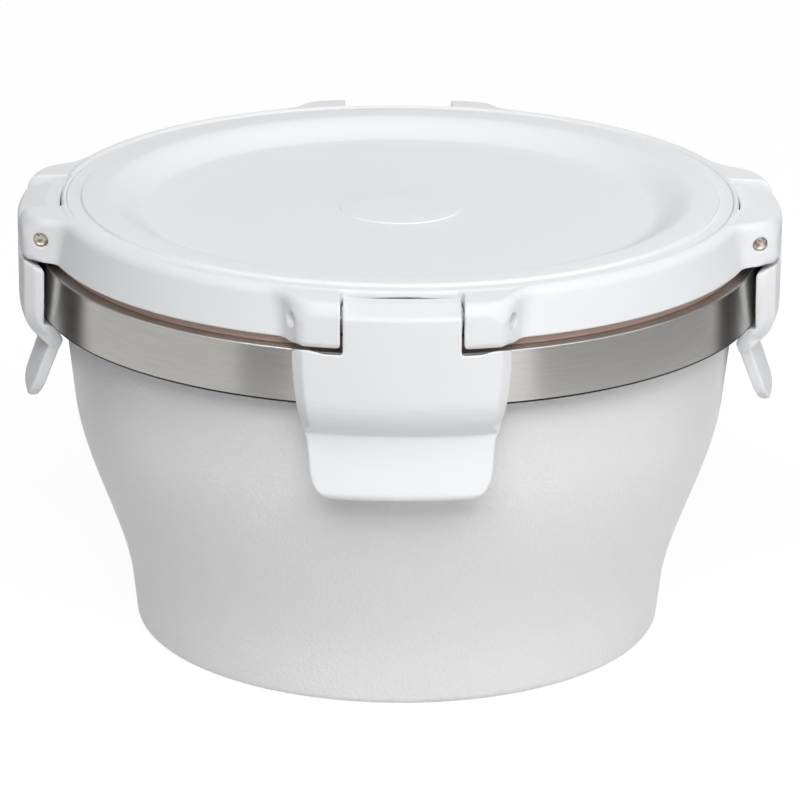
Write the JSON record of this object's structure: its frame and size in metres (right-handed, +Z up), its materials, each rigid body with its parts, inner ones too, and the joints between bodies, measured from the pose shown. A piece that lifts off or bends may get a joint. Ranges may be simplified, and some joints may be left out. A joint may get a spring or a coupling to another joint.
{
  "type": "insulated bowl with lid",
  "caption": "Round double-wall steel food bowl with a coated shell, a brushed rim band and a sealed plastic lid held by hinged side latches.",
  "frame": {"origin": "centre of the foot ring, on the surface that the bowl stands on", "axes": "+Z up along the bowl's axis, -Y towards the latch that faces the viewer, +X to the viewer's right"},
  "size_m": [0.1584, 0.1584, 0.0924],
  "materials": {
    "powder_coat": "fine pebbled matt powder coat",
    "liner_steel": "satin",
    "band_steel": "brushed round the rim",
    "seal_bead": "dull fused bead",
    "getter_metal": "dull sintered metal",
    "lid_plastic": "moulded polypropylene, satin",
    "latch_plastic": "moulded polypropylene, satin",
    "silicone": "matt silicone",
    "pin_steel": "knurled pin, bare"
  },
  "bodies": {
    "bowl": {"outer_shell": "powder_coat", "inner_liner": "liner_steel", "rim_band": "band_steel", "base_plate": "powder_coat", "port_seal": "seal_bead", "getter_clip": "liner_steel", "getter": "getter_metal"},
    "lid": {"lid_frame": "lid_plastic", "lid_cover": "lid_plastic", "lid_plug": "lid_plastic", "gasket": "silicone", "pin_front": "pin_steel", "pin_right": "pin_steel", "pin_back": "pin_steel", "pin_left": "pin_steel"},
    "latch_front": {"latch_front": "latch_plastic"},
    "latch_right": {"latch_right": "latch_plastic"},
    "latch_back": {"latch_back": "latch_plastic"},
    "latch_left": {"latch_left": "latch_plastic"}
  },
  "joints": [
    {"name": "lid_lift", "type": "slide", "parent": "bowl", "child": "lid", "axis": [0, 0, 1], "range_m": [0, 0.012]},
    {"name": "latch_front_hinge", "type": "hinge", "parent": "lid", "child": "latch_front", "pos_m": [0, -0.0731, 0.0874], "axis": [-1, 0, 0], "range_deg": [0, 96]},
    {"name": "latch_right_hinge", "type": "hinge", "parent": "lid", "child": "latch_right", "pos_m": [0.0731, 0, 0.0874], "axis": [0, -1, 0], "range_deg": [0, 96]},
    {"name": "latch_back_hinge", "type": "hinge", "parent": "lid", "child": "latch_back", "pos_m": [0, 0.0731, 0.0874], "axis": [1, 0, 0], "range_deg": [0, 96]},
    {"name": "latch_left_hinge", "type": "hinge", "parent": "lid", "child": "latch_left", "pos_m": [-0.0731, 0, 0.0874], "axis": [0, 1, 0], "range_deg": [0, 96]}
  ],
  "couplings": [
    {"joint": "latch_front_hinge", "follows": "lid_lift", "rad_per_m": 139.6},
    {"joint": "latch_right_hinge", "follows": "lid_lift", "rad_per_m": 139.6},
    {"joint": "latch_back_hinge", "follows": "lid_lift", "rad_per_m": 139.6},
    {"joint": "latch_left_hinge", "follows": "lid_lift", "rad_per_m": 139.6}
  ]
}
